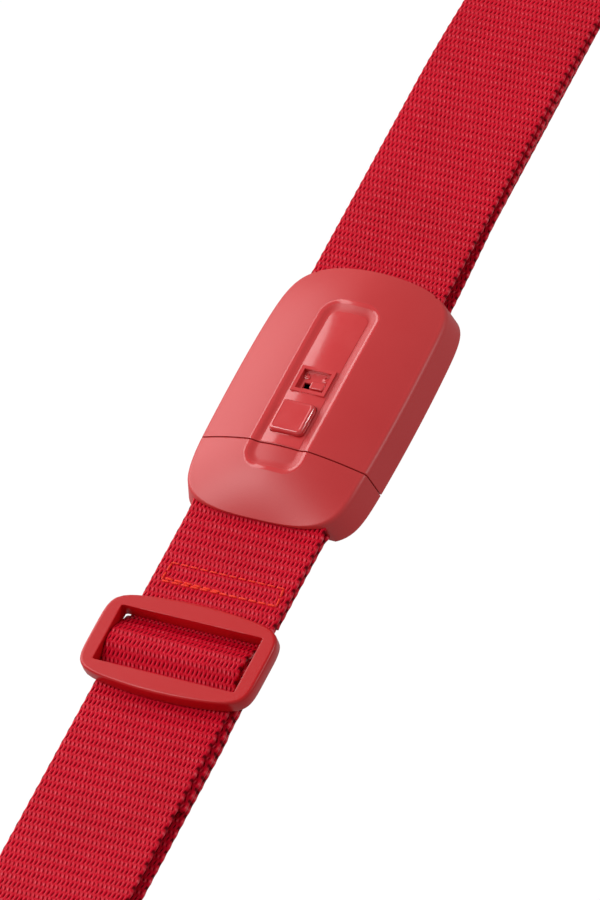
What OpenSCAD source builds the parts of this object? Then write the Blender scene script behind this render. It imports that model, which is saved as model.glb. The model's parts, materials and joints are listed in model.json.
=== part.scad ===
// Luggage strap: one long webbing doubled through a tri-glide adjuster and closed by a
// press-button buckle with a slide lock.
// X runs along the strap from the adjuster to the female half, Y across it and Z up.
// The closed loop lies flat, with its back run on Z = 0 and its buckle centred on X = 0.

/* [Webbing] */
// Width of the webbing
web_w = 38; // [34:1:39]
// Thickness of one layer
web_t = 1.4; // [1.2:0.1:1.4]
// Length of the closed loop as it lies flat, fold to fold
loop_l = 500; // [490:10:700]
// Outer radius of the relaxed fold at each end of the loop
fold_r = 5.5; // [5:0.5:7]
// Sideways shift of the lower layers left of the adjuster
lower_shift = -1; // [-1.1:0.1:0]
// Sideways shift of the run that lies on the table
back_shift = 1.8; // [0:0.1:3]

/* [Buckle] */
// Length of the closed buckle
buckle_l = 76; // [76:0.5:80]
// Width of the buckle at its foot
buckle_w = 52; // [50:1:56]
// Height of the buckle over its crown
buckle_h = 14; // [13.8:0.1:14.8]
// Length of the male half's housing
male_l = 18.4; // [18.2:0.1:19]
// Wall thickness of the housings
wall = 1.8; // [1.4:0.1:2]
// Width of the long recess in the top
recess_w = 17; // [16:0.5:19]
// Depth of the recess
recess_d = 1.3; // [0.8:0.1:1.5]

/* [Button and lock] */
// Length of the release button, along X
button_l = 9.6; // [9:0.1:9.8]
// Width of the release button
button_w = 9.6; // [9.4:0.1:10]
// Travel of the release button
button_travel = 1.6; // [1:0.1:1.6]
// Length of the square lock plate, along X
lock_l = 8; // [7.8:0.1:8.2]
// Width of the lock plate
lock_w = 9.8; // [9.8:0.1:10.4]
// Travel of the lock knob
lock_travel = 3.4; // [2:0.1:3.4]

/* [Adjuster] */
// Distance from the buckle's centre to the adjuster's centre bar
adj_x = -81; // [-84:0.5:-80]
// Length of the adjuster, along X
adj_l = 27.6; // [27:0.2:30]
// Width of the adjuster
adj_w = 49; // [47:1:52]
// Thickness of the adjuster's frame
adj_t = 4; // [3.6:0.1:4.2]
// Length of the window, along X
window_l = 17; // [16.6:0.2:18]
// Width of the window
window_w = 40.4; // [39.6:0.2:42]
// Travel of the adjuster along the webbing
adj_travel = 15; // [5:1:15]

/* [Stitching] */
// Distance from the adjuster's centre to the middle of the box stitch
stitch_x = 22; // [20:0.5:25]
// Length of the box stitch, along X
stitch_l = 5.4; // [4.6:0.2:7]
// Width of the box stitch
stitch_w = 33; // [30:1:34]

/* [Hidden] */

ply_gap = 0.1;
ply = web_t + ply_gap;
eps = 0.01;
circle_fn = 48;

// Heights of the layers, at their middles
back_z = web_t / 2;
lower_z = 2 * ply + 0.3 + web_t / 2;
middle_z = lower_z + ply;
upper_z = middle_z + ply;

// Buckle
case_z = 2 * ply + 0.2;
case_top = case_z + buckle_h;
half_l = buckle_l / 2;
half_w = buckle_w / 2;
seam_x = male_l - half_l;
seam_gap = 0.4;
end_drop = 7.6;
nose_drop = 3;
side_bow = 1.4;
side_h = 7.7;
side_draft = 1.6;
base_t = 1.6;
base_top = case_z + base_t;
mouth_w = web_w + 2.6;
recess_x0 = -27;
recess_x1 = 26.7;
recess_z = case_top - recess_d;
ceiling_z = recess_z - 1.7;

// Strap bars in the two halves
male_bar_x = -32;
male_bar_z = 6.2;
male_bar_r = 1.6;
female_bar_x = 30;
female_bar_z = 7.2;
female_bar_r = 2;
bar_end = mouth_w / 2 + 1;

// Tops of the openings that the webbing passes through
male_lip_z = 8.45;
male_eye_z = 9.45;
female_mouth_z = 11.2;

// Tongue and its channel
tongue_z = base_top + 0.3;
tongue_t = 2.4;
tongue_w = 21;
tongue_tip_x = 6.5;
tongue_bar_l = 4.3;
tongue_root_x = -28.5;
rail_w = 4;
channel_w = tongue_w + 0.8;

// Button, lever and lock
button_x = -11.1;
button_top = case_top - 0.2;
button_z = 12.9;
tray_z = tongue_z + tongue_t + 0.3;
tray_t = 0.8;
tray_top = tray_z + tray_t;
pivot_x = -4.6;
pivot_z = 10.4;
pin_r = 0.8;
pin_clearance = 0.06;
hub_r = 1.3;
arm_w = 6.4;
arm_z = 12;
arm_t = 0.9;
spring_hole = 4.8;
lock_x = 1;
lock_floor_z = 14;
lock_floor_t = 0.7;
knob_x = -0.2;
knob_y = -lock_travel / 2;

// Adjuster
frame_z = upper_z + ply / 2 + 0.05;
frame_top = frame_z + adj_t;
bar_t = 2;
bar_l = 3.8;
bar_z = frame_z - 1.45 + bar_t / 2;
bar_r = bar_t / 2;
wrap_r = bar_r + 0.05 + web_t / 2;
hump_r = wrap_r + ply;

// Places along the strap
run_end = loop_l / 2 - 41;
left_end = -run_end + adj_travel + 0.6;
right_end = run_end - 33;
fold_x = loop_l / 2 - fold_r;
anchor_end = adj_x - 41;
tail_end = adj_x + 15.6;
climb_x = adj_x + 41.5;
descent_x = 100;

// ---- Outlines ----

function ease(u) = (1 - cos(180 * u)) / 2;

function ramp(x0, z0, x1, z1, n = 8) =
    [for (i = [0:n]) [x0 + (x1 - x0) * i / n, z0 + (z1 - z0) * ease(i / n)]];

function arc(x, z, r, a0, a1, n = 12) =
    [for (i = [0:n]) let (a = a0 + (a1 - a0) * i / n) [x + r * cos(a), z + r * sin(a)]];

function flipped(path) = [for (i = [len(path) - 1:-1:0]) path[i]];

function mirrored(path) = [for (p = path) [-p[0], p[1]]];

function unit(v) = v / norm(v);

function normal(a, b) = let (d = unit(b - a)) [-d[1], d[0]];

// Offset of point i of a path by d, mitred where two segments meet
function shifted(path, i, d) =
    let (
        last = len(path) - 1,
        before = normal(path[max(i - 1, 0)], path[max(i, 1)]),
        after = normal(path[min(i, last - 1)], path[min(i + 1, last)])
    )
    path[i] + (before + after) * d / (1 + before * after);

function ribbon(path, t) = concat(
    [for (i = [0:len(path) - 1]) shifted(path, i, t / 2)],
    [for (i = [len(path) - 1:-1:0]) shifted(path, i, -t / 2)]
);

// One layer of webbing along a path in X and Z
module webbing(path, y = 0) {
    color([0.78, 0.06, 0.14])
        translate([0, y + web_w / 2, 0])
            rotate([90, 0, 0])
                linear_extrude(web_w)
                    polygon(ribbon(path, web_t));
}

module across(width, z = 0) {
    translate([0, width / 2, z])
        rotate([90, 0, 0])
            linear_extrude(width)
                children();
}

module box(x0, x1, width, z0, z1) {
    translate([x0, -width / 2, z0])
        cube([x1 - x0, width, z1 - z0]);
}

// ---- Buckle housings ----

plan_steps = 24;
plan_power = 10;
plan_root = 4;

function half_width(x, inset) =
    let (u = abs(x) / (half_l - inset))
    (half_w - inset - side_bow * u * u) * pow(max(1 - pow(u, plan_power), 0), 1 / plan_root);

function plan_side(inset, side) = [
    for (i = [0:plan_steps])
        let (x = (half_l - inset) * sin(-90 + 180 * i / plan_steps))
            [x, side * half_width(x, inset)]
];

// Height of the top along the middle: it slopes to a lip at the male end
function crown(x) =
    x < seam_x ? case_top - end_drop * pow((seam_x - x) / male_l, 1.8)
    : case_top - nose_drop * pow((x - seam_x) / (buckle_l - male_l), 6);

crown_points = [for (i = [0:plan_steps]) let (x = -half_l + buckle_l * i / plan_steps) [x, crown(x)]];

// Height of the top across the strap: an arch down to the drafted side walls
arch_w = half_w - side_draft;

function arch(y) = case_z + side_h + (buckle_h - side_h) * (1 - pow(abs(y) / arch_w, 1.8));

function arch_points(inset) = [
    for (i = [0:plan_steps])
        let (y = arch_w * sin(-90 + 180 * i / plan_steps))
            [y * (arch_w - inset) / arch_w, arch(y)]
];

module case_solid(inset = 0) {
    foot = half_w - inset;
    intersection() {
        translate([0, 0, case_z - eps])
            linear_extrude(buckle_h)
                polygon(concat(plan_side(inset, 1), flipped(plan_side(inset, -1))));
        across(buckle_w, -inset)
            polygon(concat(crown_points, [[half_l, case_z - 2], [-half_l, case_z - 2]]));
        translate([half_l, 0, -inset])
            rotate([90, 0, -90])
                linear_extrude(buckle_l)
                    polygon(concat(
                        arch_points(inset),
                        [[foot, case_z], [foot, case_z - 2], [-foot, case_z - 2], [-foot, case_z]]
                    ));
    }
}

module recess_cut() {
    end_r = recess_w / 3;
    for (step = [0, 1])
        translate([0, 0, recess_z + 0.6 * step])
            linear_extrude(4)
                hull()
                    for (x = [recess_x0 + end_r, recess_x1 - end_r], y = [-1, 1])
                        translate([x, y * (recess_w / 2 - end_r)])
                            circle(end_r - 0.6 + 0.6 * step, $fn = circle_fn);
}

male_screw_places = [for (y = [-1, 1]) [-25.2, 11 * y]];
female_screw_places = [for (x = [-14.5, 21.5], y = [-1, 1]) [x, 19 * y]];
boss_r = 2.4;
screw_r = 1;

module bosses(places, top) {
    for (p = places)
        translate([p[0], p[1], base_top])
            cylinder(h = top - base_top, r = boss_r, $fn = circle_fn);
}

module screw_holes(places) {
    for (p = places)
        translate([p[0], p[1], base_top - eps])
            cylinder(h = 5, r = screw_r, $fn = circle_fn);
}

module bar_sockets(x, z, r) {
    translate([x, bar_end, z])
        rotate([90, 0, 0])
            cylinder(h = 2 * bar_end, r = r, $fn = circle_fn);
}

module screws(places) {
    head_r = 1.9;
    color([0.7, 0.7, 0.72])
        for (p = places)
            translate([p[0], p[1], case_z + 0.3])
                difference() {
                    union() {
                        cylinder(h = 1.1, r = head_r, $fn = circle_fn);
                        cylinder(h = 5.6, r = screw_r - 0.05, $fn = circle_fn);
                    }
                    for (turn = [0, 90])
                        rotate(turn)
                            translate([-1.1, -0.25, -eps])
                                cube([2.2, 0.5, 0.6]);
                }
}

module base_plate(x0, x1, places) {
    difference() {
        intersection() {
            case_solid(wall + 0.1);
            box(x0, x1, buckle_w, case_z - 1, base_top);
        }
        for (p = places) {
            translate([p[0], p[1], case_z - 1])
                cylinder(h = 1 + 1.4, r = 2, $fn = circle_fn);
            translate([p[0], p[1], case_z - 1])
                cylinder(h = 5, r = screw_r, $fn = circle_fn);
        }
    }
}

module male_cover() {
    x1 = seam_x - seam_gap / 2;
    bulkhead_x = x1 - wall;
    color([0.8, 0.28, 0.28])
        difference() {
            intersection() {
                case_solid();
                box(-half_l, x1, buckle_w, 0, 20);
            }
            difference() {
                intersection() {
                    case_solid(wall);
                    box(-half_l, bulkhead_x, buckle_w, 0, ceiling_z);
                }
                bosses(male_screw_places, ceiling_z);
            }
            box(-half_l - 1, -half_l + 2, mouth_w, 0, male_lip_z);
            box(-half_l + 1.8, male_bar_x + 1, mouth_w, 0, male_eye_z);
            box(bulkhead_x - 1, x1 + 1, tongue_w + 0.1, tongue_z - 0.05, tongue_z + tongue_t + 0.05);
            bar_sockets(male_bar_x, male_bar_z, male_bar_r);
            screw_holes(male_screw_places);
            recess_cut();
        }
}

module male_base() {
    color([0.7, 0.2, 0.22])
        base_plate(tongue_root_x, seam_x - seam_gap / 2 - wall - 0.1, male_screw_places);
}

module tongue() {
    root_end = seam_x - 2.4;
    color([0.66, 0.12, 0.16])
        translate([0, 0, tongue_z])
            difference() {
                union() {
                    box(tongue_root_x, root_end, 30, 0, tongue_t);
                    box(root_end - 1, tongue_tip_x, tongue_w, 0, tongue_t);
                }
                box(root_end, tongue_tip_x - tongue_bar_l, tongue_w - 2 * rail_w, -1, 5);
                for (p = male_screw_places)
                    translate([p[0], p[1], -1])
                        cylinder(h = 5, r = boss_r + 0.1, $fn = circle_fn);
                for (side = [-1, 1])
                    translate([tongue_tip_x, side * tongue_w / 2, -1])
                        rotate(45)
                            cube([2.4, 2.4, 10], center = true);
            }
}

module strap_bar(x, z, r) {
    color([0.62, 0.62, 0.64])
        translate([x, bar_end, z])
            rotate([90, 0, 0])
                cylinder(h = 2 * bar_end, r = r, $fn = circle_fn);
}

module male_strap_bar() {
    strap_bar(male_bar_x, male_bar_z, male_bar_r);
}

module male_screws() {
    screws(male_screw_places);
}

module female_cover() {
    x0 = seam_x + seam_gap / 2;
    front_x = x0 + wall;
    color([0.82, 0.3, 0.3])
        difference() {
            intersection() {
                case_solid();
                box(x0, half_l, buckle_w, 0, 20);
            }
            difference() {
                intersection() {
                    case_solid(wall);
                    box(front_x, half_l, buckle_w, 0, ceiling_z);
                }
                bosses(female_screw_places, ceiling_z);
            }
            box(half_l - 6, half_l + 1, mouth_w, 0, female_mouth_z);
            box(x0 - 1, front_x + 1, channel_w, base_top, tray_z);
            bar_sockets(female_bar_x, female_bar_z, female_bar_r);
            screw_holes(female_screw_places);
            recess_cut();
            box(button_x - button_l / 2 - 0.2, button_x + button_l / 2 + 0.2, button_w + 0.4, 13, 20);
            box(lock_x - lock_l / 2, lock_x + lock_l / 2, lock_w, 13, 20);
        }
}

module female_base() {
    color([0.7, 0.2, 0.22])
        base_plate(seam_x + seam_gap / 2 + wall + 0.1, female_bar_x - 4, female_screw_places);
}

// Polished floor of the recess, open over the button and over the lock's pocket
module inlay_panel() {
    x0 = seam_x + seam_gap / 2 + 0.2;
    x1 = recess_x1 - 3.4;
    half_y = recess_w / 2 - 2.9;
    corner = 2;
    panel_t = 0.3;
    color([0.85, 0.22, 0.24])
        difference() {
            translate([0, 0, recess_z])
                linear_extrude(panel_t)
                    hull() {
                        translate([x0, -half_y])
                            square([1, 2 * half_y]);
                        for (y = [-1, 1])
                            translate([x1 - corner, y * (half_y - corner)])
                                circle(corner, $fn = circle_fn);
                    }
            box(button_x - button_l / 2 - 0.2, button_x + button_l / 2 + 0.2, button_w + 0.4, 13, 20);
            box(lock_x - lock_l / 2 + 0.8, lock_x + lock_l / 2 - 0.8, lock_w - 1.6, 13, 20);
        }
}

module lock_plate() {
    slot_l = lock_travel + 1.8;
    color([0.8, 0.2, 0.22])
        difference() {
            box(lock_x - lock_l / 2 + 0.05, lock_x + lock_l / 2 - 0.05, lock_w - 0.1, lock_floor_z,
                recess_z);
            box(lock_x - lock_l / 2 + 1, lock_x + lock_l / 2 - 1, lock_w - 2,
                lock_floor_z + lock_floor_t, recess_z + 1);
            box(knob_x - 0.9, knob_x + 0.9, slot_l, lock_floor_z - 1, recess_z);
        }
}

module latch_tray() {
    ear_y = 5.5;
    x0 = -17.3;
    x1 = 10;
    ear_w = 1.2;
    color([0.25, 0.25, 0.27])
        difference() {
            union() {
                box(x0, x1, channel_w + 2.4, tray_z, tray_top);
                for (side = [-1, 1]) {
                    translate([0, side * (channel_w / 2 + 0.6), 0])
                        box(x0, x1, 1.2, base_top, tray_top);
                    translate([0, side * ear_y, 0])
                        box(pivot_x - 1.4, pivot_x + 1.4, ear_w, tray_z, pivot_z + 1.4);
                }
            }
            box(pivot_x + 2.9, pivot_x + 7.7, 8.6, tray_z - 1, tray_top + 1);
            translate([pivot_x, 10, pivot_z])
                rotate([90, 0, 0])
                    cylinder(h = 20, r = pin_r, $fn = circle_fn);
        }
}

module latch_pin() {
    color([0.75, 0.75, 0.78])
        translate([pivot_x, 6, pivot_z])
            rotate([90, 0, 0])
                cylinder(h = 12, r = pin_r, $fn = circle_fn);
}

module female_strap_bar() {
    strap_bar(female_bar_x, female_bar_z, female_bar_r);
}

module female_screws() {
    screws(female_screw_places);
}

// Hollow cap with a notch for the lever's arm and two posts that press on it
module release_button() {
    skin = 1.2;
    roof_z = button_top - 1.3;
    post = (arm_w - spring_hole) / 2;
    color([0.83, 0.24, 0.25]) {
        difference() {
            translate([button_x, 0, button_z])
                linear_extrude(button_top - button_z)
                    hull()
                        for (x = [-1, 1], y = [-1, 1])
                            translate([x * (button_l / 2 - 1.2), y * (button_w / 2 - 1.2)])
                                circle(1.2, $fn = circle_fn);
            box(button_x - button_l / 2 + skin, button_x + button_l / 2 - skin,
                button_w - 2 * skin, 0, roof_z);
            box(button_x, button_x + button_l, arm_w + 0.6, 0, roof_z - 0.4);
        }
        for (side = [-1, 1])
            translate([0, side * (arm_w - post) / 2, 0])
                box(button_x - 1.5, button_x - 0.7, post, arm_z + arm_t + 0.1, roof_z + 0.2);
    }
}

// Round wire swept along a helix
module coil(r, wire_r, height, turns) {
    sides = 6;
    steps = 14 * turns;
    rings = [
        for (i = [0:steps])
            let (a = 360 * turns * i / steps, z = wire_r + (height - 2 * wire_r) * i / steps)
            for (j = [0:sides - 1])
                let (b = 360 * j / sides, q = r + wire_r * cos(b))
                    [q * cos(a), q * sin(a), z + wire_r * sin(b)]
    ];
    ends = [
        [for (j = [0:sides - 1]) j],
        [for (j = [sides - 1:-1:0]) steps * sides + j]
    ];
    skin = [
        for (i = [0:steps - 1], j = [0:sides - 1])
            let (a = i * sides + j, b = i * sides + (j + 1) % sides)
                [b, a, a + sides, b + sides]
    ];
    polyhedron(rings, concat(ends, skin), convexity = 8);
}

module button_spring() {
    color([0.8, 0.8, 0.82])
        translate([button_x, 0, tray_top + 0.02])
            coil(1.7, 0.25, button_top - 1.34 - tray_top, 4);
}

// Rocks on the pin: the button presses its long arm, and the nose behind the pin lifts
module latch_lever() {
    hub_w = 9.2;
    nose_x = pivot_x + 4.1;
    nose_l = 2;
    color([0.3, 0.3, 0.32])
        difference() {
            union() {
                translate([pivot_x, hub_w / 2, pivot_z])
                    rotate([90, 0, 0])
                        cylinder(h = hub_w, r = hub_r, $fn = circle_fn);
                box(button_x - 3.3, pivot_x + 1.2, arm_w, arm_z, arm_z + arm_t);
                box(pivot_x - 1.2, pivot_x + 1.2, arm_w, pivot_z, arm_z + eps);
                box(pivot_x, nose_x + nose_l, arm_w, pivot_z - 0.6, pivot_z + 0.5);
                box(nose_x, nose_x + nose_l, arm_w, tongue_z + tongue_t + 0.3, pivot_z);
            }
            box(button_x - spring_hole / 2, button_x + spring_hole / 2, spring_hole, arm_z - 1, 14);
            translate([pivot_x, 10, pivot_z])
                rotate([90, 0, 0])
                    cylinder(h = 20, r = pin_r + pin_clearance, $fn = circle_fn);
        }
}

module lock_knob() {
    knob_z = lock_floor_z + lock_floor_t + 0.1;
    knob_w = 4.2;
    ridges = 3;
    color([0.78, 0.14, 0.17])
        translate([knob_x, knob_y, 0])
            difference() {
                union() {
                    box(-1.5, 1.5, knob_w, knob_z, knob_z + 1);
                    box(-0.6, 0.6, 1.6, lock_floor_z - 0.15, knob_z + eps);
                }
                for (i = [0:ridges - 1])
                    translate([0, (i - 1) * 1.2, 0])
                        box(-0.9, 0.9, 0.4, knob_z + 0.7, knob_z + 2);
            }
}

module lock_slider() {
    color([0.3, 0.3, 0.32])
        translate([knob_x, knob_y, 0])
            box(-1.6, 1.6, 2.8, lock_floor_z - 0.75, lock_floor_z - 0.15);
}

// ---- Adjuster ----

frame_steps = 16;
frame_bow = 2.6;

// Half length of the frame at a distance y from its middle: the two bars are crescents
function frame_half(y) =
    let (u = abs(y) / (adj_w / 2))
    (adj_l / 2 - frame_bow * u * u) * pow(max(1 - pow(u, 12), 0), 1 / 5);

function frame_side(side) = [
    for (i = [0:frame_steps])
        let (y = adj_w / 2 * sin(-90 + 180 * i / frame_steps))
            [adj_x + side * frame_half(y), y]
];

module adjuster_frame() {
    post_w = (adj_w - window_w) / 2 - 1.1;
    color([0.75, 0.2, 0.21]) {
        difference() {
            translate([0, 0, frame_z])
                linear_extrude(adj_t)
                    polygon(concat(frame_side(1), flipped(frame_side(-1))));
            box(adj_x - window_l / 2, adj_x + window_l / 2, window_w, frame_z - 1, frame_top + 1);
        }
        across(window_w + 2)
            hull()
                for (side = [-1, 1])
                    translate([adj_x + side * (bar_l / 2 - bar_r), bar_z])
                        circle(bar_r, $fn = circle_fn);
        for (side = [-1, 1])
            translate([0, side * (window_w / 2 + post_w / 2), 0])
                box(adj_x - 2.6, adj_x + 2.6, post_w, bar_z - bar_r, frame_z + 1);
    }
}

// ---- Webbing ----

// Male half: in from the adjuster, over the bar, and back below as a sewn tail
module male_webbing() {
    x0 = adj_x + window_l / 2 + 0.6;
    r = male_bar_r + 0.05 + web_t / 2;
    webbing(concat(
        [[x0, upper_z]],
        ramp(climb_x, upper_z, male_bar_x, male_bar_z + r),
        arc(male_bar_x, male_bar_z, r, 75, -75, 10),
        ramp(male_bar_x, male_bar_z - r, climb_x, middle_z),
        [[tail_end, middle_z]]
    ));
}

// Box of thread on the surface of a layer
module box_stitch(x, z, length, width) {
    thread = 0.5;
    color([0.92, 0.3, 0.2])
        difference() {
            box(x - length / 2, x + length / 2, width, z, z + 0.3);
            box(x - length / 2 + thread, x + length / 2 - thread, width - 2 * thread, z - 1, z + 1);
        }
}

module male_stitching() {
    box_stitch(adj_x + stitch_x, upper_z + web_t / 2, stitch_l, stitch_w);
}

// One layer of the back run with the folds at both ends
function back_path(level, start_z) =
    let (
        r = fold_r - web_t / 2 - level * ply,
        half = concat(
            ramp(run_end, start_z, fold_x, fold_r + r),
            arc(fold_x, fold_r, r, 80, -90, 17)
        )
    )
    concat(half, flipped(mirrored(half)));

module back_webbing_outer() {
    webbing(back_path(0, middle_z), back_shift);
}

module back_webbing_inner() {
    webbing(back_path(1, lower_z), back_shift - 0.4);
}

// Female half: in along the top, round the bar, and away below
module female_webbing() {
    r = female_bar_r + 0.05 + web_t / 2;
    top_z = female_bar_z + r;
    webbing(concat(
        [[right_end, middle_z]],
        ramp(right_end - 3, middle_z, descent_x, top_z, 12),
        arc(female_bar_x, female_bar_z, r, 90, 270, 12),
        ramp(female_bar_x + 0.5, female_bar_z - r, descent_x - 5, top_z - ply, 8),
        ramp(descent_x, top_z - ply, right_end - 3, lower_z, 12),
        [[right_end, lower_z]]
    ));
}

// Running layer: under one bar, over the centre bar and under the other
module adjuster_webbing() {
    x0 = adj_x + window_l / 2;
    top_x = bar_l / 2 - bar_r;
    webbing(concat(
        [[x0 + 0.3, upper_z], [x0 - 0.4, upper_z]],
        arc(adj_x + top_x, bar_z, hump_r, 60, 90, 5),
        arc(adj_x - top_x, bar_z, hump_r, 90, 120, 5),
        [[adj_x - window_l / 2 + 0.4, upper_z]],
        ramp(left_end + 24, upper_z, left_end + 6, middle_z),
        [[left_end, middle_z]]
    ));
}

// Returning layer: under the centre bar, round it, and back as a sewn end
module anchor_webbing() {
    top_x = bar_l / 2 - bar_r;
    under_x = adj_x - window_l / 2;
    webbing(concat(
        [[left_end, lower_z], [under_x - 2, lower_z]],
        ramp(under_x, lower_z, adj_x - top_x, bar_z - wrap_r, 6),
        arc(adj_x + top_x, bar_z, wrap_r, -90, 90, 12),
        arc(adj_x - top_x, bar_z, wrap_r, 90, 120, 5),
        [[under_x + 0.8, middle_z], [anchor_end, middle_z]]
    ), lower_shift);
}

module anchor_stitching() {
    translate([0, lower_shift, 0])
        mirror([0, 0, 1])
            box_stitch(anchor_end + 8, web_t / 2 - lower_z, stitch_l, stitch_w);
}

male_cover();
male_base();
tongue();
male_strap_bar();
male_screws();
male_webbing();
male_stitching();
back_webbing_outer();
back_webbing_inner();
female_cover();
female_base();
inlay_panel();
lock_plate();
latch_tray();
latch_pin();
female_strap_bar();
female_screws();
female_webbing();
button_spring();
release_button();
latch_lever();
lock_knob();
lock_slider();
adjuster_frame();
adjuster_webbing();
anchor_webbing();
anchor_stitching();
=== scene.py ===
"""Looks of the luggage strap: woven webbing, moulded buckle and adjuster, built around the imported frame.

Lengths are in millimetres up to mesh_object(), which turns them into metres.
"""
import functools
import json
import math

import bmesh
import bpy
import numpy as np
from mathutils import Matrix, Vector


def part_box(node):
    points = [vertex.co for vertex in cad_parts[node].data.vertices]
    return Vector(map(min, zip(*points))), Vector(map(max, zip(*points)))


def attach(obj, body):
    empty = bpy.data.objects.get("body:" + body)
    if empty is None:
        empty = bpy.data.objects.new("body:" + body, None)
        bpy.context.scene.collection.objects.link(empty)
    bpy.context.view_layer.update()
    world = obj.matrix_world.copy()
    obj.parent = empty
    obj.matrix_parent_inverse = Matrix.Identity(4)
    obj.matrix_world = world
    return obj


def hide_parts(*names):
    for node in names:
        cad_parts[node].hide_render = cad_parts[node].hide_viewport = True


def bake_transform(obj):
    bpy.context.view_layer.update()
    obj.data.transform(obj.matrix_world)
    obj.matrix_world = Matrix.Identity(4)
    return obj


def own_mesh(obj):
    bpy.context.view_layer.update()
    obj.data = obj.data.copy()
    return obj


MM = 0.001
TAU = 2 * math.pi

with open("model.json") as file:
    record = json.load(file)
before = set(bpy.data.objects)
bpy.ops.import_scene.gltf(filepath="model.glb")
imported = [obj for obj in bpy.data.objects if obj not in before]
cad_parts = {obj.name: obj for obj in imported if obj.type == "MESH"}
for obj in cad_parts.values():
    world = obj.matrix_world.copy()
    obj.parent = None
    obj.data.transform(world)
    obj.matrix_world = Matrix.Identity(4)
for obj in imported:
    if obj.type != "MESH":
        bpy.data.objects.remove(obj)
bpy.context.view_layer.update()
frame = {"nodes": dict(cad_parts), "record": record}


def node_box(name):
    """Lowest and highest corner of a CAD node, in millimetres."""
    low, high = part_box(name)
    return np.array(low) / MM, np.array(high) / MM


# ---- Sizes, from the frame where it holds them ----

female_low, female_high = node_box("female_cover")
male_high = node_box("male_cover")[1]
frame_low, frame_high = node_box("adjuster_frame")
back_low, back_high = node_box("back_webbing_outer")
inner_low, inner_high = node_box("back_webbing_inner")
anchor_low, anchor_high = node_box("anchor_webbing")
button_low, button_high = node_box("release_button")
plate_low, plate_high = node_box("lock_plate")
knob_low, knob_high = node_box("lock_knob")
male_bar_low, male_bar_high = node_box("male_strap_bar")
female_bar_low, female_bar_high = node_box("female_strap_bar")
inlay_low, inlay_high = node_box("inlay_panel")
spring_low, spring_high = node_box("button_spring")
stitch_low, stitch_high = node_box("male_stitching")
low_stitch_low, low_stitch_high = node_box("anchor_stitching")

# Webbing: its three heights by the adjuster, and the folds at both ends of the loop
WEB_W = back_high[1] - back_low[1]
WEB_T = 1.4
PLY = WEB_T + 0.1
BACK_Y = (back_high[1] + back_low[1]) / 2
INNER_Y = (inner_high[1] + inner_low[1]) / 2
LOWER_Y = (anchor_high[1] + anchor_low[1]) / 2
LOWER_Z = anchor_low[2] + WEB_T / 2
MIDDLE_Z = LOWER_Z + PLY
UPPER_Z = MIDDLE_Z + PLY
FOLD_R = 5.5
FOLD_X = back_high[0] - FOLD_R
RUN_END = 209

# Housings
CASE_Z = female_low[2]
CASE_TOP = female_high[2]
HALF_L = female_high[0]
HALF_W = female_high[1]
MALE_L = 18.4
SEAM_X = (female_low[0] + male_high[0]) / 2
LIP_Z = CASE_TOP - 7.6
WALL = 1.8
SIDE_BOW = 1.4
SIDE_DRAFT = 1.6
SIDE_TOP = CASE_Z + 7.7
ARCH_Y = HALF_W - SIDE_DRAFT
EDGE_R = 1.5
END_DROP = 3.0
SEAM_CHAMFER = 0.06
TIP = 0.001
ROUND_L = 6.0
ROW_STEP = 0.3
STEP = 0.01

# Openings of the housings: the webbing's mouths, and the tongue's channel in both seam walls
MOUTH_Y = (WEB_W + 2.6) / 2
MOUTH_DEPTH = 2.3
MALE_MOUTH_Z = 8.45
FEMALE_MOUTH_Z = 11.2
MALE_CHANNEL_Y = 10.6
MALE_CHANNEL_Z = 7.55
FEMALE_CHANNEL_Y = 10.9
FEMALE_CHANNEL_Z = 7.8

# Long recess in the top; BORDER is its polished rim, as distances from its outline
RECESS_Z = plate_high[2]
RECESS_X = (-27, 26.7)
RECESS_Y = 8.5
RECESS_R = 5.0
RECESS_DEPTH = 0.95
RECESS_WALL = (-3.2, 0.1)
BORDER = (-1.1, 0.1)

# Pieces in the recess
PANEL_R = 2.2
PANEL_RISE = 0.08
BUTTON_R = 1.3
BUTTON_GAP = 0.12
BUTTON_SLOT = 0.22
BUTTON_SKIRT_Z = 14.8
SPRING_WIRE = 0.25
SPRING_TURNS = 4
PLATE_FLOOR_Z = plate_low[2] + 0.7
PLATE_GAP = 0.03
PLATE_LAP = 0.3
THROUGH_TOP = (11, 20)

# Adjuster
ADJ_X = (frame_high[0] + frame_low[0]) / 2
ADJ_HALF_L = (frame_high[0] - frame_low[0]) / 2
ADJ_HALF_W = frame_high[1]
WINDOW_X = 8.5
WINDOW_Y = 20.2
FRAME_BOW = 2.6
FRAME_SOFT = 0.8
CENTRE_HALF = 0.9
CENTRE_R = 1
CENTRE_Z = frame_low[2] + CENTRE_R


# ---- Meshes ----

def mesh_object(name, points, faces=None, quads=None, uv=None, smooth=True):
    """An object from points in millimetres, and faces as lists or quads as an array."""
    mesh = bpy.data.meshes.new(name)
    points = np.asarray(points, float) * MM
    if quads is None:
        mesh.from_pydata(points.tolist(), [], faces)
    else:
        quads = np.asarray(quads, np.int32)
        mesh.vertices.add(len(points))
        mesh.vertices.foreach_set("co", points.ravel())
        mesh.loops.add(quads.size)
        mesh.loops.foreach_set("vertex_index", quads.ravel())
        mesh.polygons.add(len(quads))
        mesh.polygons.foreach_set("loop_start", np.arange(0, quads.size, 4, dtype=np.int32))
        mesh.polygons.foreach_set("loop_total", np.full(len(quads), 4, np.int32))
        mesh.update(calc_edges=True)
    if uv is not None:
        layer = mesh.uv_layers.new(name="weave")
        layer.data.foreach_set("uv", np.asarray(uv, np.float32).ravel())
    mesh.polygons.foreach_set("use_smooth", np.full(len(mesh.polygons), smooth, bool))
    mesh.validate()
    made = bpy.data.objects.new(name, mesh)
    bpy.context.scene.collection.objects.link(made)
    return made


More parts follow.
